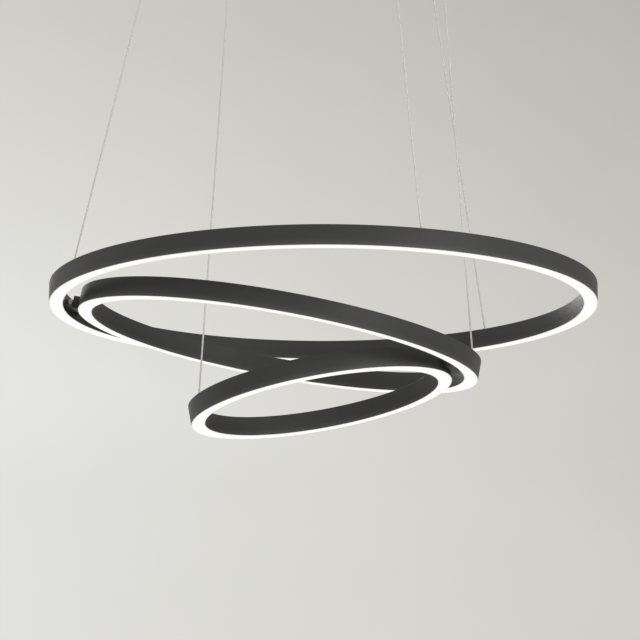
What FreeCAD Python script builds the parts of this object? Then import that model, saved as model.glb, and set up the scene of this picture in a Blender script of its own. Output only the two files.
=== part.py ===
import FreeCAD, Part
import math
import os

# A ring chandelier: three light rings of falling size, each hinged inside the next larger one
# and hung by five thin jacketed wires from one round ceiling canopy. The whole object mirrors
# about the plane y = 0. The origin is the middle of the canopy's ceiling face, +Z is up, and
# every length is in millimetres.

# ---- how the rings hang ----
ceiling_to_large_ring = 1140.0      # ceiling down to the large ring's lower edge
medium_drop_deg = 10.18             # medium ring's free side below the large ring's plane
small_drop_deg = 20.42              # small ring's free side below the medium ring's plane

# ---- rings ----
large_radius = 400.0                # outer radius of each ring
medium_radius = 296.5
small_radius = 192.25
profile_width = 20.4                # radial width of the extruded section
profile_height = 28.9
side_wall = 1.8                     # wall of the section beside the light chamber
lip_wall = 0.9                      # thinner lip on each side of the diffuser's body
top_wall = 1.8
diffuser_thickness = 3.0            # over its face and its body between the lips
diffuser_face = 0.5                 # the face covers the lips' ends
diffuser_face_margin = 0.15         # face to the section's outer walls
diffuser_clearance = 0.1

# ---- light boards ----
large_board_count = 18              # each ring has a gap between boards at its wire anchors
medium_board_count = 14
small_board_count = 10
board_width = 8.0
board_thickness = 1.2
board_gap = 10.0                    # between the ends of two boards
leds_per_board = 2
led_width = 3.5
led_thickness = 0.9

# ---- wires and their anchors on the rings ----
wire_radius = 1.3                   # over its clear jacket
wire_bore_clearance = 0.15
large_anchor_angles_deg = {"left": 180.0, "near": -60.0, "far": 60.0}
medium_anchor_angle_deg = 0.0
small_anchor_angle_deg = 180.0
anchor_flange_radius = 3.5
anchor_flange_thickness = 1.0
anchor_thread_radius = 2.0
anchor_depth = 6.0                  # below the ring's top face
anchor_nut_flats = 7.0
anchor_nut_height = 3.2
hole_clearance = 0.1

# ---- swivel hinge between two rings ----
pivot_gap = 8.5                     # pivot axis to the outer ring's inner wall
bracket_pivot_height = 15.05        # pivot above the outer ring's lower edge
medium_block_pivot_height = 16.43   # pivot above the inner ring's lower edge
small_block_pivot_height = 17.9
arm_length = 14.6                   # pivot axis to the inner ring's outer wall
medium_hinge_width = 76.0           # over the two ears
small_hinge_width = 62.0
ear_thickness = 3.0
ear_radius = 3.2
slot_clearance = 0.15
bracket_plate = 1.5
bracket_plate_height = 14.0
bracket_seat_gap = 0.3              # curved plate to the wall that its screws draw it to
tongue_radius = 3.0
tongue_side_gap = 0.3               # between an ear and the tongue
block_face_offset = 4.0             # pivot axis to the block's flat face
block_above_pivot = 9.8
block_below_pivot = 8.5
pivot_screw_radius = 1.5
pivot_running_clearance = 0.05
pivot_head_radius = 3.6
pivot_head_height = 2.0
pivot_head_gap = 0.15
pivot_screw_reach = 12.0            # shank length inside the tongue
pivot_socket_flats = 2.5
pivot_socket_depth = 1.2
fixing_screw_spread = 44.0          # between the two fixing screws of a bracket or block
fixing_screw_radius = 1.25
fixing_head_radius = 2.25
fixing_head_height = 1.4
block_screw_depth = 8.0

# ---- ceiling canopy ----
canopy_radius = 165.0
canopy_height = 38.0
canopy_wall = 1.5
canopy_chamfer = 4.0
canopy_ceiling_gap = 0.5
bar_width = 30.0                    # the steel bar that carries the canopy
bar_thickness = 2.0
bar_tab_height = 14.0
bar_tab_gap = 0.3                   # tab's corners to the canopy's inner wall
ceiling_slot_spacing = 70.0
ceiling_slot_length = 20.0
ceiling_slot_width = 5.0
grommet_bore_radius = 5.0
grommet_wall = 1.5
grommet_lip = 1.5
grommet_lip_thickness = 1.4
canopy_screw_radius = 2.0
canopy_screw_head_radius = 4.0
canopy_screw_head_height = 3.0
canopy_screw_drop = 8.0             # ceiling down to the side screws

# ---- electrics under the bar ----
driver_length = 72.0
driver_width = 40.0
driver_height = 24.0
driver_slot_gap = 1.0               # driver's lug to the end of the nearest ceiling slot
driver_lug_length = 8.0
driver_lug_width = 12.0
driver_lug_thickness = 2.5
terminal_length = 36.0
terminal_width = 18.0
terminal_height = 15.0
terminal_slot_gap = 21.0            # terminal block to the end of the nearest ceiling slot
terminal_ways = 2                   # wire ways each side of the block's own fixing screw
terminal_first_way = 6.0            # fixing screw to the nearest way
terminal_way_pitch = 9.0
terminal_entry = 3.6
terminal_clamp_radius = 1.8
terminal_clamp_height = 0.8
electrics_screw_radius = 1.5
electrics_head_radius = 2.8
electrics_head_height = 1.6

# ---- wire grippers ----
large_gripper_radius = 135.0        # from the canopy's middle
medium_gripper_radius = 140.6
small_gripper_radius = 106.0
gripper_drop = 60.0                 # ceiling down to the mouth of each release sleeve
gripper_stem_radius = 3.0
gripper_stem_length = 8.0           # above the canopy's floor
gripper_shoulder_radius = 7.0
gripper_barrel_radius = 4.5
gripper_nut_flats = 10.0
gripper_nut_height = 3.0
sleeve_radius = 2.8
sleeve_clearance = 0.1
sleeve_grip = 3.0                   # how far a sleeve sits inside its barrel at rest
sleeve_length = 9.0
sleeve_travel = 2.0
sleeve_spring_room = 1.5            # above the sleeve when it is pushed right in
wire_tail = 6.0                     # wire above the gripper's stem, inside the canopy
ferrule_radius = 2.2

X = FreeCAD.Vector(1, 0, 0)
Y = FreeCAD.Vector(0, 1, 0)
Z = FreeCAD.Vector(0, 0, 1)
FULL_TURN = 360.0
FURTHER = 1.0                       # how far a cutting tool runs past what it cuts
SHARP_CORNERS = 1                   # a pipe's bends are mitred


# ---- shapes ----

def point(x, y, z):
    return FreeCAD.Vector(x, y, z)


def revolved(outline):
    """A full turn about Z of a closed outline of (radius, height) corners."""
    corners = [point(radius, 0, height) for radius, height in outline]
    face = Part.Face(Part.makePolygon(corners + corners[:1]))
    return face.revolve(point(0, 0, 0), Z, FULL_TURN)


def box(low, high):
    """A block between two opposite corners."""
    return Part.makeBox(high[0] - low[0], high[1] - low[1], high[2] - low[2], point(*low))


def rod(radius, start, end):
    """A round rod between two points."""
    along = point(*end) - point(*start)
    return Part.makeCylinder(radius, along.Length, point(*start), along)


def hexagon(flats, height):
    """An upright six-sided prism that stands on the origin."""
    reach = flats / math.sqrt(3.0)
    turns = [math.radians(60.0 * step) for step in range(7)]
    corners = [point(reach * math.cos(turn), reach * math.sin(turn), 0) for turn in turns]
    return Part.Face(Part.makePolygon(corners)).extrude(Z * height)


def moved(shape, spot):
    copy = shape.copy()
    copy.translate(point(*spot))
    return copy


def turned(shape, angle_deg, axis_x=0.0):
    """A copy turned about the upright line at x = axis_x, y = 0."""
    copy = shape.copy()
    copy.rotate(point(axis_x, 0, 0), Z, angle_deg)
    return copy


def mirrored_pair(shape):
    """A shape and its mirror image across y = 0."""
    return [shape, shape.mirror(point(0, 0, 0), Y)]


def placed(shape, place):
    """A copy carried into another frame."""
    copy = shape.copy()
    copy.Placement = place.multiply(copy.Placement)
    return copy


def group(shapes):
    return Part.makeCompound(list(shapes))


def less(shape, cuts):
    """A shape with every cutter taken out of it."""
    return shape.cut(list(cuts)).removeSplitter()


def polar(radius, angle_deg, height):
    angle = math.radians(angle_deg)
    return (radius * math.cos(angle), radius * math.sin(angle), height)


# ---- where each ring hangs ----

def hinge_frame(side, distance, height):
    """A hinge in its ring's frame: pivot at the origin along Y, +X towards the ring's middle.

    side is -1 for a hinge on the ring's -X side and +1 for one on its +X side.
    """
    turn = 0.0 if side < 0 else 180.0
    return FreeCAD.Placement(point(side * distance, 0, height), FreeCAD.Rotation(Z, turn))


def bracket_axis(radius):
    """From the pivot to the outer ring's axis."""
    return radius - profile_width - pivot_gap


def block_axis(radius):
    """From the pivot to the inner ring's axis."""
    return radius + arm_length


def bracket_frame(radius, side):
    return hinge_frame(side, bracket_axis(radius), bracket_pivot_height)


def block_frame(radius, side, height):
    return hinge_frame(side, block_axis(radius), height)


def hung_inside(outer_place, outer_radius, inner_radius, block_height, side, drop_deg):
    """The place of a ring that is hinged inside another one."""
    pivot = outer_place.multiply(bracket_frame(outer_radius, side))
    swing = FreeCAD.Placement(point(0, 0, 0), FreeCAD.Rotation(Y, drop_deg))
    block = block_frame(inner_radius, side, block_height)
    return pivot.multiply(swing).multiply(block.inverse())


MEDIUM_SIDE = -1                    # the medium ring is hinged on the large ring's -X side
SMALL_SIDE = 1
large_place = FreeCAD.Placement(point(0, 0, -ceiling_to_large_ring), FreeCAD.Rotation(Y, 0))
medium_place = hung_inside(large_place, large_radius, medium_radius,
                           medium_block_pivot_height, MEDIUM_SIDE, medium_drop_deg)
small_place = hung_inside(medium_place, medium_radius, small_radius,
                          small_block_pivot_height, SMALL_SIDE, small_drop_deg)


# ---- ring pieces, about the ring's own axis with its lower edge at z = 0 ----

def channel(radius, cuts):
    """The extruded ring: flat top, two side walls and a thin lip each side of the diffuser."""
    inner = radius - profile_width
    ceiling = profile_height - top_wall
    ring = revolved([
        (radius, diffuser_face), (radius, profile_height),
        (inner, profile_height), (inner, diffuser_face),
        (inner + lip_wall, diffuser_face), (inner + lip_wall, diffuser_thickness),
        (inner + side_wall, diffuser_thickness), (inner + side_wall, ceiling),
        (radius - side_wall, ceiling), (radius - side_wall, diffuser_thickness),
        (radius - lip_wall, diffuser_thickness), (radius - lip_wall, diffuser_face)])
    return less(ring, cuts)


def diffuser(radius):
    """The opal ring: a body between the two lips, up to the ledges, and a face over their ends."""
    inner = radius - profile_width + lip_wall + diffuser_clearance
    outer = radius - lip_wall - diffuser_clearance
    face_inner = radius - profile_width + diffuser_face_margin
    face_outer = radius - diffuser_face_margin
    return revolved([
        (face_inner, 0), (face_outer, 0), (face_outer, diffuser_face), (outer, diffuser_face),
        (outer, diffuser_thickness), (inner, diffuser_thickness),
        (inner, diffuser_face), (face_inner, diffuser_face)])


def board_layout(radius, count):
    """The straight boards' middle radius, their length, and their turns about the ring."""
    middle = radius - profile_width / 2.0
    half_turn = math.radians(FULL_TURN / count / 2.0)
    sagitta = middle * (1.0 - math.cos(half_turn))
    length = 2.0 * middle * math.sin(half_turn) - board_gap
    turns = [FULL_TURN / count * (step + 0.5) for step in range(count)]
    return middle - sagitta / 2.0, length, turns


def light_boards(radius, count):
    """Straight circuit boards under the channel's ceiling."""
    middle, length, turns = board_layout(radius, count)
    top = profile_height - top_wall
    board = box((middle - board_width / 2.0, -length / 2.0, top - board_thickness),
                (middle + board_width / 2.0, length / 2.0, top))
    return group(turned(board, turn) for turn in turns)


def leds(radius, count):
    """Light-emitting diodes under the boards."""
    middle, length, turns = board_layout(radius, count)
    top = profile_height - top_wall - board_thickness
    half = led_width / 2.0
    chips = []
    for step in range(leds_per_board):
        along = length * ((step + 0.5) / leds_per_board - 0.5)
        chip = box((middle - half, along - half, top - led_thickness),
                   (middle + half, along + half, top))
        chips += [turned(chip, turn) for turn in turns]
    return group(chips)


def anchor_spots(radius, angles):
    """Where a ring's wires end: on the middle line of its top face."""
    return [polar(radius - profile_width / 2.0, angle, profile_height) for angle in angles]


def anchor_holes(radius, angles):
    hole = anchor_thread_radius + hole_clearance
    return [rod(hole, (x, y, top - top_wall), (x, y, top))
            for x, y, top in anchor_spots(radius, angles)]


def wire_anchors(radius, angles):
    """Flanged bushes through the ring's top wall, each with a wire ending on its flange."""
    bush = revolved([
        (0, -anchor_depth), (anchor_thread_radius, -anchor_depth), (anchor_thread_radius, 0),
        (anchor_flange_radius, 0), (anchor_flange_radius, anchor_flange_thickness),
        (0, anchor_flange_thickness)])
    return group(moved(bush, spot) for spot in anchor_spots(radius, angles))


def anchor_nuts(radius, angles):
    """Nuts that hold the bushes from inside the channel."""
    nut = less(hexagon(anchor_nut_flats, anchor_nut_height),
               [rod(anchor_thread_radius, (0, 0, 0), (0, 0, anchor_nut_height))])
    down = top_wall + anchor_nut_height
    return group(moved(nut, (x, y, top - down)) for x, y, top in anchor_spots(radius, angles))


# ---- hinge pieces, in the hinge's own frame ----

def radial_pair(rod_radius, ring_axis, start, end, seat):
    """Two rods radial to a ring, where the fixing screws pass the radius seat."""
    straight = rod(rod_radius, (ring_axis - start, 0, 0), (ring_axis - end, 0, 0))
    angle = math.degrees(math.asin(fixing_screw_spread / 2.0 / seat))
    return [turned(straight, sign * angle, ring_axis) for sign in (-1, 1)]


def pivot_bracket(radius, hinge_width):
    """A curved plate inside the outer ring's channel, with two ears through its inner wall."""
    axis = bracket_axis(radius)
    wall = radius - profile_width
    front = wall + side_wall + bracket_seat_gap
    back = front + bracket_plate
    beyond = axis - back - FURTHER
    half_height = bracket_plate_height / 2.0
    half_width = hinge_width / 2.0
    ear_inside = half_width - ear_thickness
    ring = revolved([(front, -half_height), (back, -half_height),
                     (back, half_height), (front, half_height)])
    plate = moved(ring, (axis, 0, 0)).common(
        box((beyond, -half_width, -half_height), (0, half_width, half_height)))
    room = Part.makeCylinder(front + bracket_plate / 2.0, 2.0 * ear_radius,
                             point(axis, 0, -ear_radius))
    arm = box((beyond, ear_inside, -ear_radius), (0, half_width, ear_radius)).common(room)
    knuckle = rod(ear_radius, (0, ear_inside, 0), (0, half_width, 0))
    bore = rod(pivot_screw_radius + pivot_running_clearance,
               (0, ear_inside, 0), (0, half_width, 0))
    ear = less(arm.fuse(knuckle), [bore])
    holes = radial_pair(fixing_screw_radius + hole_clearance, axis, front, back, wall)
    return less(plate.multiFuse(mirrored_pair(ear)), holes)


def bracket_openings(radius, hinge_width):
    """What the outer ring's inner wall loses to its bracket: two slots and two screw holes."""
    axis = bracket_axis(radius)
    wall = radius - profile_width
    half_width = hinge_width / 2.0
    slot = box((axis - wall - side_wall, half_width - ear_thickness - slot_clearance,
                -ear_radius - slot_clearance),
               (0, half_width + slot_clearance, ear_radius + slot_clearance))
    holes = radial_pair(fixing_screw_radius, axis, wall, wall + side_wall, wall)
    return mirrored_pair(slot) + holes


def bracket_screws(radius):
    """Two screws that draw the bracket's plate against the outer ring's inner wall."""
    axis = bracket_axis(radius)
    wall = radius - profile_width
    seat = wall + side_wall + bracket_seat_gap + bracket_plate
    shanks = radial_pair(fixing_screw_radius, axis, wall, seat, wall)
    heads = radial_pair(fixing_head_radius, axis, seat, seat + fixing_head_height, wall)
    return group(shank.fuse(head) for shank, head in zip(shanks, heads))


def tongue_half_width(hinge_width):
    return hinge_width / 2.0 - ear_thickness - tongue_side_gap


def hinge_block(radius, hinge_width):
    """The block on the inner ring's outer wall, with a tongue between the bracket's ears."""
    half_width = hinge_width / 2.0
    tongue_half = tongue_half_width(hinge_width)
    body = box((block_face_offset, -half_width, -block_below_pivot),
               (arm_length + profile_width, half_width, block_above_pivot))
    neck = box((0, -tongue_half, -tongue_radius),
               (block_face_offset, tongue_half, tongue_radius))
    nose = rod(tongue_radius, (0, -tongue_half, 0), (0, tongue_half, 0))
    ring = rod(radius, (block_axis(radius), 0, -profile_height),
               (block_axis(radius), 0, profile_height))
    bore = rod(pivot_screw_radius, (0, tongue_half - pivot_screw_reach, 0), (0, tongue_half, 0))
    holes = radial_pair(fixing_screw_radius, block_axis(radius), radius - FURTHER,
                        radius + block_screw_depth, radius)
    return less(body.multiFuse([neck, nose]), [ring] + mirrored_pair(bore) + holes)


def block_openings(radius):
    """What the inner ring's outer wall loses to its block: two screw holes."""
    hole = fixing_screw_radius + hole_clearance
    return radial_pair(hole, block_axis(radius), radius - side_wall, radius, radius)


def block_screws(radius):
    """Two screws from inside the inner ring's channel into the block."""
    axis = block_axis(radius)
    seat = radius - side_wall
    shanks = radial_pair(fixing_screw_radius, axis, seat, radius + block_screw_depth, radius)
    heads = radial_pair(fixing_head_radius, axis, seat - fixing_head_height, seat, radius)
    return group(shank.fuse(head) for shank, head in zip(shanks, heads))


def pivot_screws(hinge_width):
    """Two socket-head screws, fixed in the tongue and turning in the ears."""
    inside = tongue_half_width(hinge_width) - pivot_screw_reach
    outside = hinge_width / 2.0 + pivot_head_gap
    top = outside + pivot_head_height
    shank = rod(pivot_screw_radius, (0, inside, 0), (0, outside, 0))
    head = rod(pivot_head_radius, (0, outside, 0), (0, top, 0))
    socket = hexagon(pivot_socket_flats, pivot_socket_depth)
    socket.rotate(point(0, 0, 0), X, -90)
    screw = less(shank.fuse(head), [moved(socket, (0, top - pivot_socket_depth, 0))])
    return group(mirrored_pair(screw))


# ---- canopy ----

def gripper_spots():
    """The middle of each wire's gripper, by the wire's name."""
    spots = {"large_" + side: polar(large_gripper_radius, angle, 0)
             for side, angle in large_anchor_angles_deg.items()}
    spots["medium"] = polar(medium_gripper_radius, medium_anchor_angle_deg, 0)
    spots["small"] = polar(small_gripper_radius, small_anchor_angle_deg, 0)
    return spots


def bar_reach():
    """Half the bar's length, which keeps its tabs' corners off the canopy's wall."""
    return math.sqrt((canopy_radius - canopy_wall - bar_tab_gap) ** 2 - (bar_width / 2.0) ** 2)


def canopy_shell():
    """The round cover, open at the ceiling."""
    top = -canopy_ceiling_gap
    low = -canopy_height
    floor = low + canopy_wall
    inner = canopy_radius - canopy_wall
    shell = revolved([
        (0, low), (canopy_radius - canopy_chamfer, low), (canopy_radius, low + canopy_chamfer),
        (canopy_radius, top), (inner, top), (inner, floor), (0, floor)])
    stem_hole = gripper_stem_radius + hole_clearance
    cuts = [rod(stem_hole, (x, y, low), (x, y, floor)) for x, y, _ in gripper_spots().values()]
    cuts += mirrored_pair(rod(canopy_screw_radius + hole_clearance,
                              (0, inner - FURTHER, -canopy_screw_drop),
                              (0, canopy_radius + FURTHER, -canopy_screw_drop)))
    return less(shell, cuts)


def ceiling_slot(middle_y):
    """A slot through the bar, along Y."""
    radius = ceiling_slot_width / 2.0
    half = ceiling_slot_length / 2.0 - radius
    straight = box((-radius, middle_y - half, -bar_thickness), (radius, middle_y + half, 0))
    ends = [rod(radius, (0, middle_y + side * half, -bar_thickness),
                (0, middle_y + side * half, 0)) for side in (-1, 1)]
    return straight.multiFuse(ends).removeSplitter()


def slots_reach():
    """Half the length over both ceiling slots."""
    return (ceiling_slot_spacing + ceiling_slot_length) / 2.0


def driver_middle():
    return -(slots_reach() + driver_slot_gap + driver_lug_length + driver_length / 2.0)


def terminal_middle():
    return slots_reach() + terminal_slot_gap + terminal_width / 2.0


def electrics_screw_spots():
    """Each screw's place along the bar, and how thick the piece under the bar is there."""
    lug = (driver_length + driver_lug_length) / 2.0
    return [(driver_middle() - lug, driver_lug_thickness),
            (driver_middle() + lug, driver_lug_thickness),
            (terminal_middle(), terminal_height)]


def mounting_bar():
    """The steel bar that is screwed to the ceiling, with a tab down at each end."""
    half_width = bar_width / 2.0
    reach = bar_reach()
    bar = box((-half_width, -reach, -bar_thickness), (half_width, reach, 0))
    tab = box((-half_width, reach - bar_thickness, -bar_tab_height), (half_width, reach, 0))
    cuts = [rod(grommet_bore_radius + grommet_wall, (0, 0, -bar_thickness), (0, 0, 0))]
    cuts += [ceiling_slot(side * ceiling_slot_spacing / 2.0) for side in (-1, 1)]
    cuts += [rod(electrics_screw_radius, (0, y, -bar_thickness), (0, y, 0))
             for y, _ in electrics_screw_spots()]
    cuts += mirrored_pair(rod(canopy_screw_radius,
                              (0, reach - bar_thickness, -canopy_screw_drop),
                              (0, reach, -canopy_screw_drop)))
    return less(bar.multiFuse(mirrored_pair(tab)), cuts)


def supply_grommet():
    """A rubber bush in the bar's middle hole, for the supply cable."""
    body = grommet_bore_radius + grommet_wall
    low = -bar_thickness - grommet_lip_thickness
    return revolved([
        (grommet_bore_radius, 0), (body, 0), (body, -bar_thickness),
        (body + grommet_lip, -bar_thickness), (body + grommet_lip, low),
        (grommet_bore_radius, low)])


def canopy_screws():
    """Two knob screws through the canopy's side into the bar's tabs."""
    shank = rod(canopy_screw_radius, (0, bar_reach() - bar_thickness, -canopy_screw_drop),
                (0, canopy_radius, -canopy_screw_drop))
    head = rod(canopy_screw_head_radius, (0, canopy_radius, -canopy_screw_drop),
               (0, canopy_radius + canopy_screw_head_height, -canopy_screw_drop))
    return group(mirrored_pair(shank.fuse(head)))


def led_driver():
    """The closed power supply, with a lug at each end against the bar."""
    top = -bar_thickness
    half_length = driver_length / 2.0
    case = box((-driver_width / 2.0, driver_middle() - half_length, top - driver_height),
               (driver_width / 2.0, driver_middle() + half_length, top))
    lug_reach = half_length + driver_lug_length
    lugs = box((-driver_lug_width / 2.0, driver_middle() - lug_reach,
                top - driver_lug_thickness),
               (driver_lug_width / 2.0, driver_middle() + lug_reach, top))
    holes = [electrics_hole(y, thickness) for y, thickness in electrics_screw_spots()[:2]]
    return less(case.fuse(lugs), holes)


def electrics_hole(y, thickness):
    top = -bar_thickness
    return rod(electrics_screw_radius + hole_clearance, (0, y, top - thickness), (0, y, top))


def way_spots():
    """The terminal block's wire ways, either side of its own fixing screw."""
    return [side * (terminal_first_way + step * terminal_way_pitch)
            for side in (-1, 1) for step in range(terminal_ways)]


def terminal_block():
    """The block that joins the supply cable to the driver, with a square entry for each way."""
    top = -bar_thickness
    half_length = terminal_length / 2.0
    half_width = terminal_width / 2.0
    body = box((-half_length, terminal_middle() - half_width, top - terminal_height),
               (half_length, terminal_middle() + half_width, top))
    middle = top - terminal_height / 2.0
    half = terminal_entry / 2.0
    cuts = [box((x - half, terminal_middle() - half_width, middle - half),
                (x + half, terminal_middle() + half_width, middle + half))
            for x in way_spots()]
    cuts.append(electrics_hole(terminal_middle(), terminal_height))
    return less(body, cuts)


def terminal_clamps():
    """The clamping screws of the terminal block."""
    top = -bar_thickness - terminal_height
    return group(rod(terminal_clamp_radius, (x, terminal_middle(), top - terminal_clamp_height),
                     (x, terminal_middle(), top)) for x in way_spots())


def electrics_screws():
    """Three screws that hold the driver and the terminal block up against the bar."""
    screws = []
    for y, thickness in electrics_screw_spots():
        seat = -bar_thickness - thickness
        shank = rod(electrics_screw_radius, (0, y, seat), (0, y, 0))
        head = rod(electrics_head_radius, (0, y, seat - electrics_head_height), (0, y, seat))
        screws.append(shank.fuse(head))
    return group(screws)


# ---- wire grippers, about their own axis with the ceiling at z = 0 ----

def stem_top():
    return -canopy_height + canopy_wall + gripper_stem_length


def barrel_low():
    return -gripper_drop + sleeve_length - sleeve_grip


def gripper_bodies():
    """Turned bodies: a stem through the canopy's floor over a tapered barrel."""
    bore = wire_radius + wire_bore_clearance
    socket = sleeve_radius + sleeve_clearance
    socket_top = barrel_low() + sleeve_grip + sleeve_travel + sleeve_spring_room
    body = revolved([
        (bore, stem_top()), (gripper_stem_radius, stem_top()),
        (gripper_stem_radius, -canopy_height), (gripper_shoulder_radius, -canopy_height),
        (gripper_barrel_radius, barrel_low()), (socket, barrel_low()),
        (socket, socket_top), (bore, socket_top)])
    return group(moved(body, spot) for spot in gripper_spots().values())


def gripper_nuts():
    """Nuts on the stems, on the canopy's floor."""
    floor = -canopy_height + canopy_wall
    nut = less(hexagon(gripper_nut_flats, gripper_nut_height),
               [rod(gripper_stem_radius, (0, 0, 0), (0, 0, gripper_nut_height))])
    return group(moved(nut, (x, y, floor)) for x, y, _ in gripper_spots().values())


def release_sleeve(spot):
    """The sprung sleeve that frees the wire when it is pushed up into its barrel."""
    bore = wire_radius + wire_bore_clearance
    low = -gripper_drop
    sleeve = revolved([(bore, low), (sleeve_radius, low),
                       (sleeve_radius, low + sleeve_length), (bore, low + sleeve_length)])
    return moved(sleeve, spot)


# ---- wires ----

def tail_top():
    return stem_top() + wire_tail


def wire_ferrules():
    """Crimped ends of the wires, inside the canopy."""
    ferrule = rod(ferrule_radius, (0, 0, stem_top()), (0, 0, tail_top()))
    core = rod(wire_radius, (0, 0, stem_top()), (0, 0, tail_top()))
    ferrule = less(ferrule, [core])
    return group(moved(ferrule, spot) for spot in gripper_spots().values())


def suspension_wire(gripper, anchor_place, anchor_spot):
    """One wire: straight down through its gripper, then straight to its anchor's flange."""
    flange = anchor_spot[:2] + (anchor_spot[2] + anchor_flange_thickness,)
    end = anchor_place.multVec(point(*flange))
    start = point(gripper[0], gripper[1], tail_top())
    mouth = point(gripper[0], gripper[1], -gripper_drop)
    beyond = end + (end - mouth).normalize() * (2.0 * wire_radius)
    path = Part.makePolygon([start, mouth, beyond])
    section = Part.Wire(Part.makeCircle(wire_radius, start, Z))
    wire = path.makePipeShell([section], True, False, SHARP_CORNERS)
    bush = box((-anchor_flange_radius, -anchor_flange_radius, -anchor_flange_radius),
               (anchor_flange_radius, anchor_flange_radius, 0))
    return wire.cut(placed(moved(bush, flange), anchor_place))


# ---- every piece by name ----

def ring_parts(name, radius, board_count, anchor_angles, cuts):
    return {
        name + "_channel": channel(radius, anchor_holes(radius, anchor_angles) + cuts),
        name + "_diffuser": diffuser(radius),
        name + "_light_boards": light_boards(radius, board_count),
        name + "_leds": leds(radius, board_count),
        name + "_wire_anchors": wire_anchors(radius, anchor_angles),
        name + "_anchor_nuts": anchor_nuts(radius, anchor_angles)}


def outer_hinge_parts(name, radius, side, hinge_width):
    """The half of a hinge that the outer ring carries."""
    frame = bracket_frame(radius, side)
    return {name + "_pivot_bracket": placed(pivot_bracket(radius, hinge_width), frame),
            name + "_bracket_screws": placed(bracket_screws(radius), frame)}


def inner_hinge_parts(name, radius, frame, hinge_width):
    """The half of a hinge that the inner ring carries."""
    return {name + "_hinge_block": placed(hinge_block(radius, hinge_width), frame),
            name + "_block_screws": placed(block_screws(radius), frame),
            name + "_pivot_screws": placed(pivot_screws(hinge_width), frame)}


def in_frame(shapes, frame):
    return [placed(shape, frame) for shape in shapes]


def large_ring():
    cuts = in_frame(bracket_openings(large_radius, medium_hinge_width),
                    bracket_frame(large_radius, MEDIUM_SIDE))
    parts = ring_parts("large", large_radius, large_board_count,
                       large_anchor_angles_deg.values(), cuts)
    parts.update(outer_hinge_parts("large", large_radius, MEDIUM_SIDE, medium_hinge_width))
    return parts


def medium_ring():
    cuts = in_frame(bracket_openings(medium_radius, small_hinge_width),
                    bracket_frame(medium_radius, SMALL_SIDE))
    block = block_frame(medium_radius, MEDIUM_SIDE, medium_block_pivot_height)
    cuts += in_frame(block_openings(medium_radius), block)
    parts = ring_parts("medium", medium_radius, medium_board_count,
                       [medium_anchor_angle_deg], cuts)
    parts.update(outer_hinge_parts("medium", medium_radius, SMALL_SIDE, small_hinge_width))
    parts.update(inner_hinge_parts("medium", medium_radius, block, medium_hinge_width))
    return parts


def small_ring():
    block = block_frame(small_radius, SMALL_SIDE, small_block_pivot_height)
    cuts = in_frame(block_openings(small_radius), block)
    parts = ring_parts("small", small_radius, small_board_count,
                       [small_anchor_angle_deg], cuts)
    parts.update(inner_hinge_parts("small", small_radius, block, small_hinge_width))
    return parts


def suspension_wires():
    """Each wire by name, from its gripper to its anchor."""
    spots = gripper_spots()
    wires = {}
    for side, angle in large_anchor_angles_deg.items():
        anchor = anchor_spots(large_radius, [angle])[0]
        wires["large_" + side] = suspension_wire(spots["large_" + side], large_place, anchor)
    anchor = anchor_spots(medium_radius, [medium_anchor_angle_deg])[0]
    wires["medium"] = suspension_wire(spots["medium"], medium_place, anchor)
    anchor = anchor_spots(small_radius, [small_anchor_angle_deg])[0]
    wires["small"] = suspension_wire(spots["small"], small_place, anchor)
    return wires


def canopy_parts():
    return {"mounting_bar": mounting_bar(), "supply_grommet": supply_grommet(),
            "canopy_shell": canopy_shell(), "canopy_screws": canopy_screws(),
            "led_driver": led_driver(), "terminal_block": terminal_block(),
            "terminal_clamps": terminal_clamps(), "electrics_screws": electrics_screws(),
            "gripper_bodies": gripper_bodies(), "gripper_nuts": gripper_nuts(),
            "wire_ferrules": wire_ferrules()}


def all_parts():
    parts = canopy_parts()
    for name, spot in gripper_spots().items():
        parts[name + "_release_sleeve"] = release_sleeve(spot)
    for name, wire in suspension_wires().items():
        parts[name + "_wire"] = wire
    rings = ((large_ring(), large_place), (medium_ring(), medium_place),
             (small_ring(), small_place))
    for pieces, place in rings:
        parts.update({name: placed(shape, place) for name, shape in pieces.items()})
    return parts


os.makedirs("parts", exist_ok=True)
for name, shape in all_parts().items():
    shape.exportStep("parts/" + name + ".step")
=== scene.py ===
import math

import bmesh
import bpy
from mathutils import Matrix, Vector


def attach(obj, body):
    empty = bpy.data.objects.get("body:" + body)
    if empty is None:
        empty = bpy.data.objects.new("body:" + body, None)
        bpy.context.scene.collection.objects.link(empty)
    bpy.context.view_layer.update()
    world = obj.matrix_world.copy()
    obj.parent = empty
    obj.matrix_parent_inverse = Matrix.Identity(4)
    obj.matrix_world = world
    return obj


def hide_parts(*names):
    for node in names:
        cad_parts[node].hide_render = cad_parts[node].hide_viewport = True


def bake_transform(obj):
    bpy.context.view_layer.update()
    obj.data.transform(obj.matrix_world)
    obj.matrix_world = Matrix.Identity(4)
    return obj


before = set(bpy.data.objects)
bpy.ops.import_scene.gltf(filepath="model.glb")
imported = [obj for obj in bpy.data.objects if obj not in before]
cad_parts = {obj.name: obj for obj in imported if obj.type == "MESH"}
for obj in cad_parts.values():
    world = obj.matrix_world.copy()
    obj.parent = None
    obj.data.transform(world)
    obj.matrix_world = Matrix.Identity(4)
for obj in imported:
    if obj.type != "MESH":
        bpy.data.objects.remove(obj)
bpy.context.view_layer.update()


# ---- Ring channels ----
# Each ring is one aluminium extrusion, rolled to a circle, welded shut and powder coated in matt
# charcoal. Two thin lips at its lower edge hold the diffuser, and the inner wall of an outer ring
# has two slots and two screw holes for the hinge bracket behind it.

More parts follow.
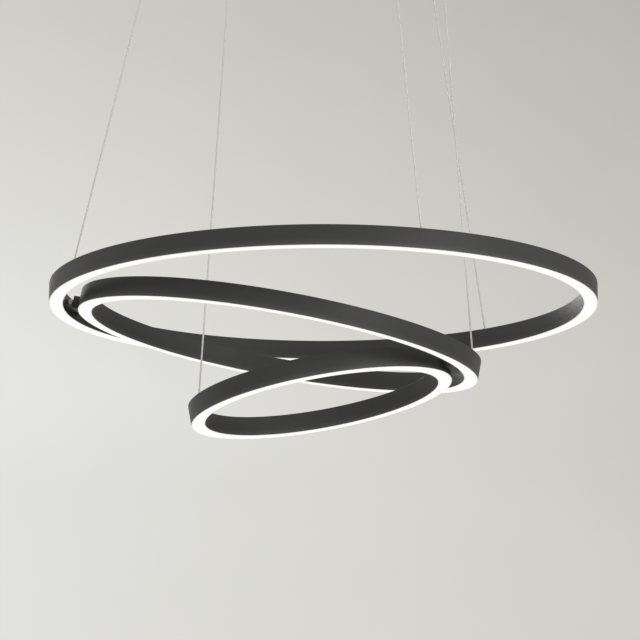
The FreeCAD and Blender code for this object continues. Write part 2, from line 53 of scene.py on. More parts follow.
mm = 0.001
ceiling_to_large_ring = 1140 * mm
section_width = 20.4 * mm
section_height = 28.9 * mm
side_wall = 1.8 * mm
top_wall = 1.8 * mm
lip_wall = 0.9 * mm
strip_thickness = 3.0 * mm
strip_face = 0.5 * mm                      # the opal strip's face covers the lips' ends
outer_edge_round = 0.45 * mm
lip_edge_round = 0.2 * mm
ring_radius = {"large": 400 * mm, "medium": 296.5 * mm, "small": 192.25 * mm}
ring_steps = {"large": 300, "medium": 240, "small": 180}

pivot_to_outer_wall = 8.5 * mm
pivot_above_outer_ring = 15.05 * mm
pivot_above_inner_ring = {"medium": 16.43 * mm, "small": 17.9 * mm}
pivot_to_inner_ring = 14.6 * mm
hinge_side = {"medium": -1, "small": 1}
hinge_drop = {"medium": math.radians(10.18), "small": math.radians(20.42)}
hinge_width = {"medium": 76 * mm, "small": 62 * mm}


def hung_inside(outer, inner, place):
    """The place of a ring that hangs by its hinge inside another ring."""
    side = hinge_side[inner]
    bracket = ring_radius[outer] - section_width - pivot_to_outer_wall
    block = ring_radius[inner] + pivot_to_inner_ring
    return (place
            @ Matrix.Translation((side * bracket, 0, pivot_above_outer_ring))
            @ Matrix.Rotation(-side * hinge_drop[inner], 4, "Y")
            @ Matrix.Translation((-side * block, 0, -pivot_above_inner_ring[inner])))


ring_place = {"large": Matrix.Translation((0, 0, -ceiling_to_large_ring))}
ring_place["medium"] = hung_inside("large", "medium", ring_place["large"])
ring_place["small"] = hung_inside("medium", "small", ring_place["medium"])


class Socket:
    """One output in a material's nodes. Arithmetic on sockets adds Math nodes."""

    def __init__(self, tree, link=None):
        self.tree = tree
        self.link = link

    def node(self, kind, inputs, out=0, **settings):
        """A node by its type: its settings first, then the values or links of its sockets."""
        made = self.tree.nodes.new("ShaderNode" + kind)
        for name, value in settings.items():
            setattr(made, name, value)
        for name, value in inputs.items():
            if isinstance(value, Socket):
                self.tree.links.new(value.link, made.inputs[name])
            else:
                made.inputs[name].default_value = value
        return Socket(self.tree, made.outputs[out])

    def math(self, operation, *values):
        return self.node("Math", dict(enumerate(values)), operation=operation)

    def mixed(self, low, high):
        """A colour from low to high as this socket goes from 0 to 1."""
        colours = {0: self, 6: low, 7: high}
        return self.node("Mix", colours, 2, data_type="RGBA", clamp_factor=True)

    def noise(self, size, detail=2.0):
        """Noise at this position with features of about that size, in metres."""
        return self.node("TexNoise", {"Vector": self, "Scale": 1 / size, "Detail": detail})

    def bump(self, depth, strength):
        """A normal from this height, from 0 to 1, times a depth in metres."""
        return self.node("Bump", {"Height": self, "Distance": depth, "Strength": strength})

    def axis(self, name):
        return self.node("SeparateXYZ", {0: self}, name)

    def __add__(self, other):
        return self.math("ADD", self, other)

    def __sub__(self, other):
        return self.math("SUBTRACT", self, other)

    def __rsub__(self, other):
        return self.math("SUBTRACT", other, self)

    def __mul__(self, other):
        return self.math("MULTIPLY", self, other)

    def __truediv__(self, other):
        return self.math("DIVIDE", self, other)

    def __abs__(self):
        return self.math("ABSOLUTE", self)

    __radd__ = __add__
    __rmul__ = __mul__


def tone(red, green, blue):
    """A colour as it is seen, from 0 to 255, in the renderer's linear scale."""
    shares = [value / 255 for value in (red, green, blue)]
    linear = [s / 12.92 if s <= 0.04045 else ((s + 0.055) / 1.055) ** 2.4 for s in shares]
    return (*linear, 1.0)


def finish(name, **fixed):
    """A new material with its shader's fixed values. Gives it and its object's coordinates."""
    made = bpy.data.materials.new(name)
    made.use_nodes = True
    shader = made.node_tree.nodes["Principled BSDF"]
    for socket, value in fixed.items():
        shader.inputs[socket.replace("_", " ")].default_value = value
    return made, Socket(made.node_tree).node("TexCoord", {}, "Object")


def paint(made, **changing):
    """Links what changes over the surface to the material's shader."""
    shader = made.node_tree.nodes["Principled BSDF"]
    for socket, value in changing.items():
        made.node_tree.links.new(value.link, shader.inputs[socket.replace("_", " ")])


coat_grain = 0.45 * mm
coat_relief = 0.02 * mm
coat_cloud = 24 * mm
ring_painted_glow_top = 11 * mm                    # how far up its walls a ring has the strip's painted light


def powder_coat(name, painted_glow_top=0.0):
    """Matt charcoal powder. Over a ring's lower edge, up to a given height, the strip's light is
    painted on.
    """
    made, spot = finish(name, IOR=1.55)
    grain = spot.noise(coat_grain)
    cloud = spot.noise(coat_cloud, 3.0)
    shade = (cloud * 0.6 + grain * 0.4).mixed(tone(19, 19, 18), tone(30, 30, 29))
    if painted_glow_top:
        # Painted light: the strip's glow, as a lighter colour on the lowest part of a ring's walls.
        low = spot.node("Clamp", {0: 1 - spot.axis("Z") / painted_glow_top})
        shade = (low * low).mixed(shade, tone(62, 62, 59))
    paint(made,
          Base_Color=shade,
          Roughness=0.46 + grain * 0.16,
          Normal=grain.bump(coat_relief, 0.6))
    return made


charcoal_coat = powder_coat("charcoal_powder_coat")
# The rings' coat carries the strip's painted light near their lower edges.
ring_coat = powder_coat("charcoal_ring_coat_painted_glow", ring_painted_glow_top)


def rounded(corners, steps=3):
    """A closed outline. Each corner is (across, up), with a third number where it is eased."""
    outline = []
    for index, corner in enumerate(corners):
        here = Vector(corner[:2])
        if len(corner) == 2:
            outline.append(tuple(here))
            continue
        ease = corner[2]
        back = (Vector(corners[index - 1][:2]) - here).normalized() * ease
        on = (Vector(corners[(index + 1) % len(corners)][:2]) - here).normalized() * ease
        for step in range(steps + 1):
            share = step / steps
            outline.append(tuple(here + back * (1 - share) ** 2 + on * share ** 2))
    return outline


crease = math.radians(32)                  # sharper edges than this are shaded as edges
sharp_edge = math.radians(40)              # and sharper ones than this are rounded off
round_profile = 0.6                        # a little fuller than a plain arc, which is 0.5
weld_distance = 0.2e-6


class Form:
    """A mesh in the making, to which turned and extruded outlines are added."""

    def __init__(self):
        self.mesh = bmesh.new()

    def turn(self, outline, steps, place=Matrix(), flutes=None):
        """A full turn about Z of a closed outline of (radius, height) points.

        flutes is (points, depth): those points of the outline go in and out with every step.
        """
        loops = []
        for step in range(steps):
            angle = 2 * math.pi * step / steps
            loop = []
            for index, (radius, height) in enumerate(outline):
                if flutes and step % 2 and index in flutes[0]:
                    radius -= flutes[1]
                corner = (radius * math.cos(angle), radius * math.sin(angle), height)
                loop.append(self.mesh.verts.new(place @ Vector(corner)))
            loops.append(loop)
        self.skin(loops + loops[:1])

    def skin(self, loops):
        """Faces between each closed loop of points and the next."""
        for here, there in zip(loops, loops[1:]):
            for index in range(len(here)):
                after = (index + 1) % len(here)
                self.mesh.faces.new((here[index], here[after], there[after], there[index]))

    def prism(self, outline, low, high, place=Matrix()):
        """An outline of (x, y) points carried from one height to another."""
        loops = [[self.mesh.verts.new(place @ Vector((x, y, z))) for x, y in outline]
                 for z in (low, high)]
        self.skin(loops)
        self.mesh.faces.new(loops[0])
        self.mesh.faces.new(loops[1])

    def ease(self, width, steps):
        """Rounds every sharp edge."""
        edges = [edge for edge in self.mesh.edges
                 if edge.is_manifold and edge.calc_face_angle() > sharp_edge]
        bmesh.ops.bevel(self.mesh, geom=edges, offset=width, segments=steps,
                        profile=round_profile, affect="EDGES", clamp_overlap=True)

    def made(self, name):
        """The finished mesh as an object."""
        bmesh.ops.remove_doubles(self.mesh, verts=self.mesh.verts, dist=weld_distance)
        bmesh.ops.recalc_face_normals(self.mesh, faces=self.mesh.faces)
        for face in self.mesh.faces:
            face.smooth = True
        data = bpy.data.meshes.new(name)
        self.mesh.to_mesh(data)
        self.mesh.free()
        data.set_sharp_from_angle(angle=crease)
        piece = bpy.data.objects.new(name, data)
        bpy.context.collection.objects.link(piece)
        return piece


def cut_out(piece, cutter):
    """Takes the cutter's solid out of a piece, and deletes the cutter."""
    cut = piece.modifiers.new("cut", "BOOLEAN")
    cut.object = cutter
    cut.solver = "EXACT"
    graph = bpy.context.evaluated_depsgraph_get()
    data = bpy.data.meshes.new_from_object(piece.evaluated_get(graph))
    piece.modifiers.clear()
    piece.data = data
    bpy.data.objects.remove(cutter)
    data.set_sharp_from_angle(angle=crease)


def fit(piece, body, slot, material, *nodes):
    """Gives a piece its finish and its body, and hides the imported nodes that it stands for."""
    piece.data.materials.clear()
    piece.data.materials.append(material)
    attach(piece, body)
    if nodes:
        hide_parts(*nodes)
    return piece


ear_thickness = 3 * mm
ear_radius = 3.2 * mm
slot_clearance = 0.15 * mm
slot_inward = 4 * mm                       # the cut's reach on both sides of the wall's face
slot_outward = 3 * mm
fixing_spread = 44 * mm
fixing_radius = 1.25 * mm
fixing_inward = 2 * mm
fixing_length = 5 * mm
fixing_sides = 24


def bracket_cutter(outer, inner):
    """What the outer ring's inner wall loses to a hinge's bracket, in the ring's frame."""
    side = hinge_side[inner]
    wall = ring_radius[outer] - section_width
    half = hinge_width[inner] / 2
    form = Form()
    tall = ear_radius + slot_clearance
    for hand in (-1, 1):
        near = hand * (half - ear_thickness - slot_clearance)
        far = hand * (half + slot_clearance)
        front = side * (wall - slot_inward)
        behind = side * (wall + slot_outward)
        form.prism([(front, near), (behind, near), (behind, far), (front, far)],
                   pivot_above_outer_ring - tall, pivot_above_outer_ring + tall)
        turn = hand * math.asin(fixing_spread / 2 / wall)
        hole = (Matrix.Rotation(turn + (math.pi if side < 0 else 0), 4, "Z")
                @ Matrix.Translation((wall - fixing_inward, 0, pivot_above_outer_ring))
                @ Matrix.Rotation(math.pi / 2, 4, "Y"))
        angles = [point * math.pi / (fixing_sides / 2) for point in range(fixing_sides)]
        rim = [(fixing_radius * math.cos(a), fixing_radius * math.sin(a)) for a in angles]
        form.prism(rim, 0, fixing_length, hole)
    return form.made("bracket_cutter")


for name, radius in ring_radius.items():
    inner = radius - section_width
    ceiling = section_height - top_wall
    section = rounded([
        (radius, strip_face, lip_edge_round), (radius, section_height, outer_edge_round),
        (inner, section_height, outer_edge_round), (inner, strip_face, lip_edge_round),
        (inner + lip_wall, strip_face, lip_edge_round), (inner + lip_wall, strip_thickness),
        (inner + side_wall, strip_thickness), (inner + side_wall, ceiling),
        (radius - side_wall, ceiling), (radius - side_wall, strip_thickness),
        (radius - lip_wall, strip_thickness), (radius - lip_wall, strip_face, lip_edge_round)])
    form = Form()
    form.turn(section, ring_steps[name])
    channel = form.made(name + "_ring_channel")
    if name != "small":
        cut_out(channel, bracket_cutter(name, "medium" if name == "large" else "small"))
    channel.matrix_world = ring_place[name]
    fit(channel, name + "_ring", "ring_coat", ring_coat, name + "_channel")


# ---- Diffusers ----
# A flexible opal strip is pressed between the lips of each ring, and its thin face covers their
# ends. The light of the diodes behind it spreads so far in it that it glows evenly all round.

strip_clearance = 0.1 * mm
strip_margin = 0.15 * mm                   # its face to the ring's walls
strip_edge_round = 0.3 * mm
strip_crown = 0.12 * mm
strip_dimming = 3 * mm                     # how far in from its edges it glows less
strip_haze = 1.6 * mm
strip_cloud = 30 * mm


def glowing_opal(name, radius):
    """Opal silicone for a ring of that radius, which glows less where the lips shade it."""
    made, spot = finish(name, IOR=1.41, Emission_Strength=0.78)
    haze = spot.noise(strip_haze, 3.0)
    reach = spot.node("VectorMath", {0: spot}, "Value", operation="LENGTH")
    inward = section_width / 2 - abs(reach - (radius - section_width / 2))
    unshaded = spot.node("Clamp", {0: inward / strip_dimming})
    glow = spot.noise(strip_cloud, 1.0).mixed(tone(250, 250, 245), tone(255, 255, 251))
    paint(made,
          Base_Color=haze.mixed(tone(150, 150, 147), tone(160, 160, 157)),
          Roughness=0.34 + haze * 0.12,
          Emission_Color=unshaded.mixed(tone(205, 205, 199), glow),
          Normal=haze.bump(0.01 * mm, 0.4))
    return made


for name, radius in ring_radius.items():
    low = radius - section_width + lip_wall + strip_clearance
    high = radius - lip_wall - strip_clearance
    face_low = radius - section_width + strip_margin
    face_high = radius - strip_margin
    form = Form()
    form.turn(rounded([
        (face_low, strip_crown, strip_edge_round), ((low + high) / 2, 0),
        (face_high, strip_crown, strip_edge_round), (face_high, strip_face), (high, strip_face),
        (high, strip_thickness), (low, strip_thickness),
        (low, strip_face), (face_low, strip_face)]), ring_steps[name])
    strip = form.made(name + "_ring_diffuser")
    strip.matrix_world = ring_place[name]
    fit(strip, name + "_ring", "opal", glowing_opal(name + "_glowing_opal", radius),
        name + "_diffuser")


# ---- Light boards and diodes ----
# Straight aluminium-cored boards with a white solder mask are stuck under each channel's
# ceiling, and carry the light-emitting diodes with their yellow phosphor.

white_mask, spot = finish("white_solder_mask", Specular_IOR_Level=0.5)
weave = spot.noise(0.8 * mm)
paint(white_mask,
      Base_Color=spot.noise(7 * mm).mixed(tone(226, 228, 224), tone(240, 241, 237)),
      Roughness=0.3 + weave * 0.15,
      Normal=weave.bump(0.01 * mm, 0.4))

phosphor, spot = finish("diode_phosphor", Emission_Strength=1.0)
paint(phosphor,
      Base_Color=spot.noise(0.5 * mm).mixed(tone(236, 206, 92), tone(246, 222, 124)),
      Emission_Color=spot.noise(1 * mm, 1.0).mixed(tone(252, 244, 205), tone(255, 250, 226)),
      Roughness=0.35 + spot.noise(0.3 * mm, 1.0) * 0.2)


def dress(node, material):
    """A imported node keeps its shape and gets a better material."""
    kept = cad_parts[node]
    if not kept.material_slots:
        kept.data.materials.append(material)
    for place in kept.material_slots:
        place.material = material


for name in ring_radius:
    dress(name + "_light_boards", white_mask)
    dress(name + "_leds", phosphor)


# ---- Wire anchors ----
# A turned and nickel plated bush with a thin flange sits in the middle of a ring's top face over
# each wire, and a nut inside the channel draws it tight.

anchor_flange_radius = 3.5 * mm
anchor_flange = 1.0 * mm
anchor_thread_radius = 2.0 * mm
anchor_depth = 6 * mm
anchor_flare = 0.45 * mm                   # its mouth, where the wire comes in at an angle
anchor_flare_depth = 2 * mm
anchor_steps = 40
wire_entry = 1 * mm                        # the wire's end, below the flange's top
wire_radius = 1.3 * mm
wire_bore = 1.45 * mm
anchor_turns = {"large": {"large_left": 180.0, "large_near": -60.0, "large_far": 60.0},
                "medium": {"medium": 0.0}, "small": {"small": 180.0}}

turning_stretch = (0.04, 0.04, 1)          # tool marks run round the turned pieces
nickel, spot = finish("turned_nickel_plate", Metallic=1.0)
lines = spot.node("Mapping", {"Vector": spot, "Scale": turning_stretch}).noise(0.12 * mm)
bloom = spot.noise(3 * mm, 3.0)
paint(nickel,
      Base_Color=bloom.mixed(tone(176, 174, 169), tone(205, 203, 198)),
      Roughness=0.22 + lines * 0.14 + bloom * 0.06,
      Normal=lines.bump(0.006 * mm, 0.5))

anchor_top = {}
for name, turns in anchor_turns.items():
    form = Form()
    for wire, turn in turns.items():
        middle = ring_radius[name] - section_width / 2
        angle = math.radians(turn)
        foot = Vector((middle * math.cos(angle), middle * math.sin(angle), section_height))
        form.turn(rounded([
            (wire_bore, -anchor_depth), (anchor_thread_radius, -anchor_depth, 0.3 * mm),
            (anchor_thread_radius, 0), (anchor_flange_radius, 0),
            (anchor_flange_radius, anchor_flange, 0.4 * mm),
            (wire_bore + anchor_flare, anchor_flange, 0.2 * mm),
            (wire_bore, anchor_flange - anchor_flare_depth)]),
            anchor_steps, Matrix.Translation(foot))
        anchor_top[wire] = ring_place[name] @ (foot + Vector((0, 0, anchor_flange - wire_entry)))
    anchor = form.made(name + "_ring_wire_anchors")
    anchor.matrix_world = ring_place[name]
    fit(anchor, name + "_ring", "nickel", nickel, name + "_wire_anchors")

zinc, spot = finish("zinc_plated_steel", Metallic=1.0)
spangle = spot.noise(2.5 * mm, 3.0)
brushed = spot.noise(0.25 * mm)
paint(zinc,
      Base_Color=spangle.mixed(tone(160, 161, 160), tone(192, 193, 191)),
      Roughness=0.28 + spangle * 0.14 + brushed * 0.06,
      Normal=brushed.bump(0.005 * mm, 0.4))


packed_weld_distance = 1e-6
flat_angle = math.radians(0.5)


def eased(node, width, body, slot, material, steps=2):
    """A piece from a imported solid's own form, with its flats joined up and its edges eased."""
    form = Form()
    form.mesh.from_mesh(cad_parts[node].data)
    bmesh.ops.remove_doubles(form.mesh, verts=form.mesh.verts, dist=packed_weld_distance)
    bmesh.ops.dissolve_limit(form.mesh, angle_limit=flat_angle,
                             verts=form.mesh.verts, edges=form.mesh.edges)
    form.ease(width, steps)
    return fit(form.made(node + "_eased"), body, slot, material, node)


for name in ring_radius:
    eased(name + "_anchor_nuts", 0.3 * mm, name + "_ring", "steel", zinc, 1)


# ---- Hinges ----
# A steel bracket inside the outer ring has two ears through the slots in its wall. An aluminium
# block on the inner ring has a tongue between the ears, and a bright socket-head screw at each
# end is fixed in the tongue and turns in its ear.

bright_steel, spot = finish("bright_screw_steel", Metallic=1.0)
swirl = spot.noise(0.3 * mm)
paint(bright_steel,
      Base_Color=spot.noise(1.5 * mm).mixed(tone(196, 195, 192), tone(220, 219, 216)),
      Roughness=0.26 + swirl * 0.12,
      Normal=swirl.bump(0.004 * mm, 0.4))

for outer, inner in (("large", "medium"), ("medium", "small")):
    eased(outer + "_pivot_bracket", 0.35 * mm, outer + "_ring", "steel_coat", charcoal_coat)
    eased(outer + "_bracket_screws", 0.2 * mm, outer + "_ring", "steel", zinc, 1)
    eased(inner + "_hinge_block", 0.5 * mm, inner + "_ring", "ring_coat", charcoal_coat, 3)
    eased(inner + "_block_screws", 0.2 * mm, inner + "_ring", "steel", zinc, 1)
    eased(inner + "_pivot_screws", 0.3 * mm, inner + "_ring", "steel", bright_steel)


# ---- Canopy ----
# The ceiling canopy is a spun steel dish in the rings' own coat. A galvanised bar carries it from
# the ceiling, and two knurled screws through its side hold it on the bar's tabs.

canopy_radius = 165 * mm
canopy_height = 38 * mm
canopy_wall = 1.5 * mm
canopy_chamfer = 4 * mm
canopy_gap = 0.5 * mm                      # its rim to the ceiling
canopy_round = 3 * mm
canopy_rim_round = 0.4 * mm
canopy_steps = 180
screw_drop = 8 * mm
screw_radius = 2 * mm
screw_head_radius = 4 * mm
screw_head_height = 3 * mm
screw_dish_radius = 1.8 * mm
screw_dish_floor = 1.5 * mm
screw_dish_depth = 0.5 * mm
screw_steps = 60
knurl_depth = 0.25 * mm
knurled_points = range(5, 15)              # the points of the screw's outline on its head
bar_tab_face = 160.5 * mm

floor_top = -canopy_height + canopy_wall
canopy_inside = canopy_radius - canopy_wall
form = Form()
form.turn(rounded([
    (0, -canopy_height), (canopy_radius - canopy_chamfer, -canopy_height, canopy_round),
    (canopy_radius, -canopy_height + canopy_chamfer, canopy_round),
    (canopy_radius, -canopy_gap, canopy_rim_round), (canopy_inside, -canopy_gap, canopy_rim_round),
    (canopy_inside, floor_top, canopy_round), (0, floor_top)], 5), canopy_steps)
fit(form.made("canopy_dish"), "canopy", "steel_coat", charcoal_coat, "canopy_shell")

form = Form()
head_top = canopy_radius + screw_head_height
dish_low = head_top - screw_dish_depth
for hand in (-1, 1):
    out = Matrix.Translation((0, 0, -screw_drop)) @ Matrix.Rotation(-hand * math.pi / 2, 4, "X")
    form.turn(rounded([
        (0, bar_tab_face), (screw_radius, bar_tab_face, 0.3 * mm), (screw_radius, canopy_radius),
        (screw_head_radius, canopy_radius, 0.4 * mm), (screw_head_radius, head_top, 0.5 * mm),
        (screw_dish_radius, head_top, 0.3 * mm), (screw_dish_floor, dish_low), (0, dish_low)]),
        screw_steps, out, (knurled_points, knurl_depth))
fit(form.made("canopy_knurled_screws"), "canopy", "steel", nickel, "canopy_screws")

eased("mounting_bar", 0.4 * mm, "canopy", "steel", zinc)

soft_rubber, spot = finish("black_rubber", Specular_IOR_Level=0.4)
pores = spot.noise(0.5 * mm, 3.0)
paint(soft_rubber,
      Base_Color=pores.mixed(tone(30, 30, 30), tone(44, 44, 43)),
      Roughness=0.62 + pores * 0.2,
      Normal=pores.bump(0.03 * mm, 0.5))

grommet_bore = 5 * mm
grommet_body = 6.5 * mm
grommet_flange = 8 * mm
grommet_lip = 1.4 * mm
grommet_steps = 56
bar_thickness = 2 * mm
grommet_low = -bar_thickness - grommet_lip
form = Form()
form.turn(rounded([
    (grommet_bore, 0, 0.4 * mm), (grommet_body, 0, 0.4 * mm), (grommet_body, -bar_thickness),
    (grommet_flange, -bar_thickness, 0.3 * mm), (grommet_flange, grommet_low, 0.5 * mm),
    (grommet_bore, grommet_low, 0.5 * mm)]), grommet_steps)
fit(form.made("supply_bush"), "canopy", "rubber", soft_rubber, "supply_grommet")


# ---- Electrics ----
# Under the bar sit the closed driver in its moulded case and a terminal block of white nylon,
# each screwed up against the bar.

moulded_white, spot = finish("moulded_white_plastic", Specular_IOR_Level=0.45)
spark = spot.noise(0.35 * mm)
paint(moulded_white,
      Base_Color=spot.noise(20 * mm).mixed(tone(222, 222, 219), tone(234, 234, 231)),
      Roughness=0.42 + spark * 0.18,
      Normal=spark.bump(0.03 * mm, 0.6))

eased("led_driver", 1.0 * mm, "canopy", "white_plastic", moulded_white, 3)
eased("terminal_block", 0.35 * mm, "canopy", "white_plastic", moulded_white)
eased("terminal_clamps", 0.25 * mm, "canopy", "steel", zinc, 1)
eased("electrics_screws", 0.3 * mm, "canopy", "steel", zinc, 1)


# ---- Wire grippers ----
# Each wire runs up through a turned gripper under the canopy, which holds it by small balls until
# the sprung sleeve at its mouth is pushed in. A nut holds the gripper's stem inside the canopy,
# and a crimped ferrule keeps the wire's end from slipping back.

gripper_drop = 60 * mm
stem_radius = 3 * mm
stem_top = floor_top + 8 * mm
ferrule_top = stem_top + 6 * mm
shoulder_radius = 7 * mm
shoulder_taper = 0.15 * mm
shoulder_height = 1.6 * mm
barrel_radius = 4.5 * mm
barrel_low = -gripper_drop + 6 * mm
socket_radius = 2.9 * mm
socket_top = barrel_low + 6.5 * mm
sleeve_radius = 2.8 * mm
sleeve_length = 9 * mm
sleeve_flare = 0.45 * mm                   # its mouth, where the wire leaves at an angle
sleeve_flare_height = 4 * mm
gripper_steps = 64
sleeve_steps = 48

# A turned groove runs round each barrel and each sleeve near its mouth. Its corners lie this far
# out from the radius and up from the mouth, with an easing where they have a third number.
barrel_groove = ((0.45 * mm, 3.2 * mm, 0.2 * mm), (0.1 * mm, 2.9 * mm), (0.1 * mm, 2.4 * mm),
                 (0.3 * mm, 2.1 * mm, 0.2 * mm))
sleeve_groove = ((0, 1.6 * mm, 0.1 * mm), (-0.25 * mm, 1.8 * mm), (-0.25 * mm, 2.3 * mm),
                 (0, 2.5 * mm, 0.1 * mm))
gripper_reach = {"large_left": (135 * mm, 180.0), "large_near": (135 * mm, -60.0),
                 "large_far": (135 * mm, 60.0), "medium": (140.6 * mm, 0.0),
                 "small": (106 * mm, 180.0)}

gripper_foot = {}
bodies_form = Form()
for wire, (reach, turn) in gripper_reach.items():
    angle = math.radians(turn)
    foot = Vector((reach * math.cos(angle), reach * math.sin(angle), 0))
    gripper_foot[wire] = foot
    bodies_form.turn(rounded([
        (wire_bore, stem_top), (stem_radius, stem_top, 0.4 * mm), (stem_radius, -canopy_height),
        (shoulder_radius, -canopy_height, 0.3 * mm),
        (shoulder_radius - shoulder_taper, -canopy_height - shoulder_height, 0.6 * mm),
        *((barrel_radius + out, barrel_low + up, *ease) for out, up, *ease in barrel_groove),
        (barrel_radius, barrel_low, 0.5 * mm), (socket_radius, barrel_low, 0.2 * mm),
        (socket_radius, socket_top), (wire_bore, socket_top)]),
        gripper_steps, Matrix.Translation(foot))
    low = -gripper_drop
    form = Form()
    form.turn(rounded([
        (wire_bore, low + sleeve_flare_height), (wire_bore + sleeve_flare, low, 0.3 * mm),
        (sleeve_radius, low, 0.4 * mm),
        *((sleeve_radius + out, low + up, *ease) for out, up, *ease in sleeve_groove),
        (sleeve_radius, low + sleeve_length, 0.2 * mm), (wire_bore, low + sleeve_length)]),
        sleeve_steps, Matrix.Translation(foot))
    fit(form.made(wire + "_sleeve_turned"), wire + "_sleeve", "nickel", nickel,
        wire + "_release_sleeve")
fit(bodies_form.made("gripper_barrels"), "canopy", "nickel", nickel, "gripper_bodies")
eased("gripper_nuts", 0.4 * mm, "canopy", "steel", zinc)
eased("wire_ferrules", 0.3 * mm, "canopy", "nickel", nickel, 1)


# ---- Suspension wires ----
# Five thin cables, each of eight strands laid under a clear jacket, hold the rings and carry their
# low voltage. Each one leaves its crimped ferrule, runs down through its gripper, and then straight
# into the anchor on its ring.

strands = 8
strand_groove = 0.07 * mm
row_length = 2.2 * mm
row_twist = math.radians(28)
near_mouth = 12 * wire_radius

cable_grey, spot = finish("strands_under_clear_jacket", Metallic=0.15, IOR=1.46)
smear = spot.noise(6 * mm, 3.0)
fine = spot.noise(0.3 * mm)
paint(cable_grey,
      Base_Color=(smear * 0.5 + fine * 0.5).mixed(tone(201, 200, 196), tone(221, 220, 216)),
      Roughness=0.4 + fine * 0.16,
      Normal=fine.bump(0.01 * mm, 0.4))


def cable_line(route):
    """The points of the smooth line that a cable takes along its route, a row apart."""
    curve = bpy.data.curves.new("route", "CURVE")
    curve.dimensions = "3D"
    spline = curve.splines.new("NURBS")
    spline.points.add(len(route) - 1)
    for knot, place in zip(spline.points, route):
        knot.co = (*place, 1)
    spline.order_u = 3
    spline.use_endpoint_u = True
    spline.resolution_u = 60
    drawn = bpy.data.objects.new("route", curve)
    bpy.context.collection.objects.link(drawn)
    graph = bpy.context.evaluated_depsgraph_get()
    line = [vertex.co.copy() for vertex in
            bpy.data.meshes.new_from_object(drawn.evaluated_get(graph)).vertices]
    bpy.data.objects.remove(drawn)
    spots = [line[0]]
    left = row_length
    for start, stop in zip(line, line[1:]):
        length = (stop - start).length
        while left < length:
            spots.append(start.lerp(stop, left / length))
            left += row_length
        left -= length
    return spots + [line[-1]]


def cable(name, spots, first_row):
    """A stranded cable through a line's points, in the twist of its first row."""
    form = Form()
    loops = []
    for row, middle in enumerate(spots):
        along = (spots[min(row + 1, len(spots) - 1)] - spots[max(row - 1, 0)]).normalized()
        across = Vector((0, 1, 0)).cross(along).normalized()
        other = along.cross(across)
        loop = []
        for side in range(2 * strands):
            angle = (first_row + row) * row_twist + side * math.pi / strands
            reach = wire_radius - (strand_groove if side % 2 else 0)
            loop.append(form.mesh.verts.new(
                middle + across * (reach * math.cos(angle)) + other * (reach * math.sin(angle))))
        loops.append(loop)
    form.skin(loops)
    form.mesh.faces.new(loops[0])
    form.mesh.faces.new(loops[-1])
    grooves = {vertex for loop in loops for vertex in loop[1::2]}
    for edge in form.mesh.edges:
        edge.smooth = not (edge.verts[0] in grooves and edge.verts[1] in grooves)
    return form.made(name)


# The cables of the two inner rings are cut into pieces at these heights, each listed with a body
# that the pieces are not attached to.
cable_joins = {"medium": [(-860 * mm, "medium_ring")],
               "small": [(-860 * mm, "medium_ring"), (-1030 * mm, "small_ring")]}
for wire, foot in gripper_foot.items():
    tail = foot + Vector((0, 0, ferrule_top))
    crimp = foot + Vector((0, 0, stem_top))
    mouth = foot + Vector((0, 0, -gripper_drop))
    end = anchor_top[wire]
    onward = (end - mouth).normalized() * near_mouth
    line = cable_line([tail, mouth + Vector((0, 0, near_mouth)), mouth, mouth + onward, end])
    joins = cable_joins.get(wire, [])
    rows = [0] + [next(row for row, point in enumerate(line) if point.z < height)
                  for height, _ in joins] + [len(line) - 1]
    bodies = ["canopy", "large_ring"] + [body for _, body in joins]
    for part, (first, last) in enumerate(zip(rows, rows[1:])):
        spots = line[first:last + 1]
        piece = cable(wire + "_cable" + ("", "_lower", "_lowest")[part], spots, first)
        piece.data.materials.append(cable_grey)
        bodies[part + 1]
        mouth if part == 0 else spots[0]
        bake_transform(piece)
        if part == 0:
            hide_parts(wire + "_wire")
        crimp if part == 0 else spots[0]
        sum((b - a).length for a, b in zip(spots, spots[1:]))


# ---- Studio ----
# A pale floor, a pale plaster backdrop, soft lamps, and the camera below the rings. The floor and
# the backdrop lie farther out than the camera of any other view, so that they never hide the rings.

camera_spot = Vector((838.6 * mm, -4733.2 * mm, -2180.0 * mm))
camera_turn = math.radians(10.105)
camera_rise = math.radians(11.999)
sensor = 36.0
image_width = 640
focal_pixels = 3365.08

lens = bpy.data.cameras.new("camera")
lens.sensor_width = sensor
lens.lens = focal_pixels * sensor / image_width
lens.clip_end = 60
camera = bpy.data.objects.new("camera", lens)
camera.location = camera_spot
camera.rotation_euler = (math.pi / 2 + camera_rise, 0, camera_turn)
bpy.context.collection.objects.link(camera)
bpy.context.scene.camera = camera
bpy.context.view_layer.update()


def seen_and_mirrored(start):
    """1 for rays that show a surface: straight from the camera, in gloss or through glass."""
    rays = [start.node("LightPath", {}, "Is " + kind + " Ray")
            for kind in ("Camera", "Glossy", "Transmission")]
    return start.math("MAXIMUM", start.math("MAXIMUM", rays[0], rays[1]), rays[2])


def flat_face(name, corners):
    """One flat face through its corners, as an object."""
    form = Form()
    form.mesh.faces.new([form.mesh.verts.new(corner) for corner in corners])
    return form.made(name)


def show_colour(made, colour, share):
    """Lets a material show a colour as it is written, by a share from 0 to 1 for each ray."""
    tree = made.node_tree
    lit = Socket(tree, tree.nodes["Principled BSDF"].outputs["BSDF"])
    own = share.node("BsdfPrincipled", {"Base Color": (0, 0, 0, 1), "Specular IOR Level": 0.0,
                                        "Emission Color": colour, "Emission Strength": 1.0})
    mixed = share.node("MixShader", {0: share, 1: lit, 2: own})
    tree.links.new(mixed.link, tree.nodes["Material Output"].inputs["Surface"])


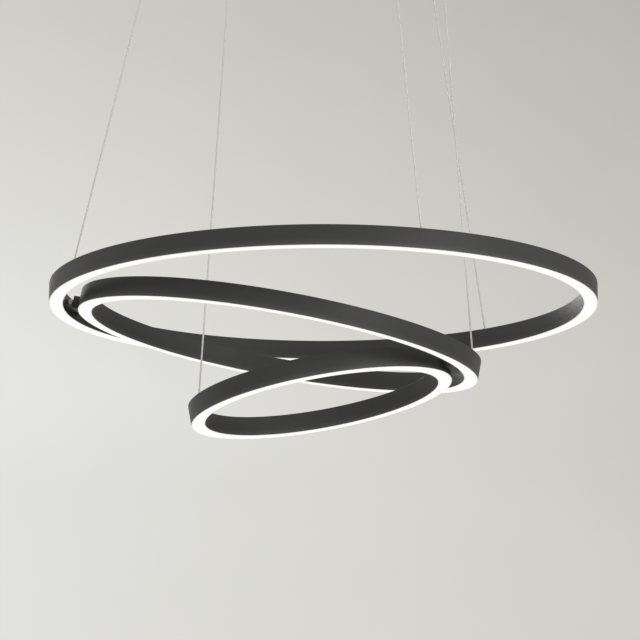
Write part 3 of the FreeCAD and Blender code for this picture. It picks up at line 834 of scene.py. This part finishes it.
backdrop_y = 10.6
backdrop_low = -10.6
backdrop_high = 9.0
backdrop_half = 16.0
view_left, view_right = -3.46, -0.35       # the part of it that the camera sees
view_high = 2.69
bright_left, bright_fall = 1.13, 1.18      # its painted light fades above a height that falls to the right
dim_top, dim_depth = 0.8, 0.46             # and a little below this height
right_share, high_share, low_share = 0.44, 0.53, 0.09
mottle_size, mottle_share = 0.46, 0.1

backdrop = flat_face("backdrop", (
    (-backdrop_half, backdrop_y, backdrop_low), (backdrop_half, backdrop_y, backdrop_low),
    (backdrop_half, backdrop_y, backdrop_high), (-backdrop_half, backdrop_y, backdrop_high)))
plaster, spot = finish("pale_plaster", Roughness=0.9)
across = spot.node("Clamp", {0: (spot.axis("X") - view_left) / (view_right - view_left)})
bright_height = bright_left - across * bright_fall
upward = spot.node("Clamp", {0: (spot.axis("Z") - bright_height) / (view_high - bright_height)})
downward = spot.node("Clamp", {0: (dim_top - spot.axis("Z")) / dim_depth})
mottle = spot.noise(mottle_size, 4.0) * mottle_share - mottle_share / 2
# Painted light and shade: brightest low on the left, painted darker to the right, upward and a
# little downward; the mottle is the plaster's own.
painted_falloff_and_mottle = across * right_share + upward * high_share + downward * low_share + mottle
shade = painted_falloff_and_mottle.mixed(tone(230, 230, 226), tone(184, 181, 173))
paint(plaster, Base_Color=shade)
show_colour(plaster, shade, seen_and_mirrored(spot))
backdrop.data.materials.append(plaster)

floor_height = -10.6
floor_half = 160.0
floor_wear = 0.8
floor = flat_face("floor", [(x * floor_half, y * floor_half, floor_height)
                            for x, y in ((-1, -1), (1, -1), (1, 1), (-1, 1))])
screed, spot = finish("pale_screed", Specular_IOR_Level=0.2)
worn = spot.noise(floor_wear, 4.0)
shade = worn.mixed(tone(226, 225, 221), tone(236, 235, 231))
paint(screed, Base_Color=shade, Roughness=0.7 + worn * 0.2)
show_colour(screed, shade, seen_and_mirrored(spot) * 0.5)
floor.data.materials.append(screed)

ambient_level = 0.6
surroundings = bpy.data.worlds.new("pale_room")
surroundings.use_nodes = True
tree = surroundings.node_tree
room = Socket(tree)
ambient = room.node("Background", {"Color": (1.0, 0.995, 0.985, 1.0), "Strength": ambient_level})
seen = room.node("Background", {"Color": tone(244, 243, 239), "Strength": 1.0})
mixed = room.node("MixShader", {0: seen_and_mirrored(room), 1: ambient, 2: seen})
tree.links.new(mixed.link, tree.nodes["World Output"].inputs["Surface"])
bpy.context.scene.world = surroundings


def lamp(name, location, size, level):
    """A square soft lamp that faces the rings. level 1 lights a colour there as it is written."""
    middle = Vector((0, 0, -ceiling_to_large_ring))
    distance = (middle - Vector(location)).length
    light = bpy.data.lights.new(name, "AREA")
    light.size = size
    light.energy = level * (math.pi * distance) ** 2
    made = bpy.data.objects.new(name, light)
    made.location = location
    made.rotation_euler = (middle - Vector(location)).to_track_quat("-Z", "Y").to_euler()
    bpy.context.collection.objects.link(made)


lamp("low_front_lamp", (0.4, -2.5, -3.0), 1.8, 0.36)
lamp("right_front_lamp", (1.7, -1.25, -0.95), 1.0, 0.19)
lamp("right_lamp", (2.6, 0.2, -0.8), 1.2, 0.04)
lamp("top_lamp", (0.5, 0.2, 1.6), 2.4, 0.12)
lamp("back_lamp", (-1.5, 4.0, 1.2), 2.4, 0.65)

bpy.context.scene.view_settings.view_transform = "Standard"
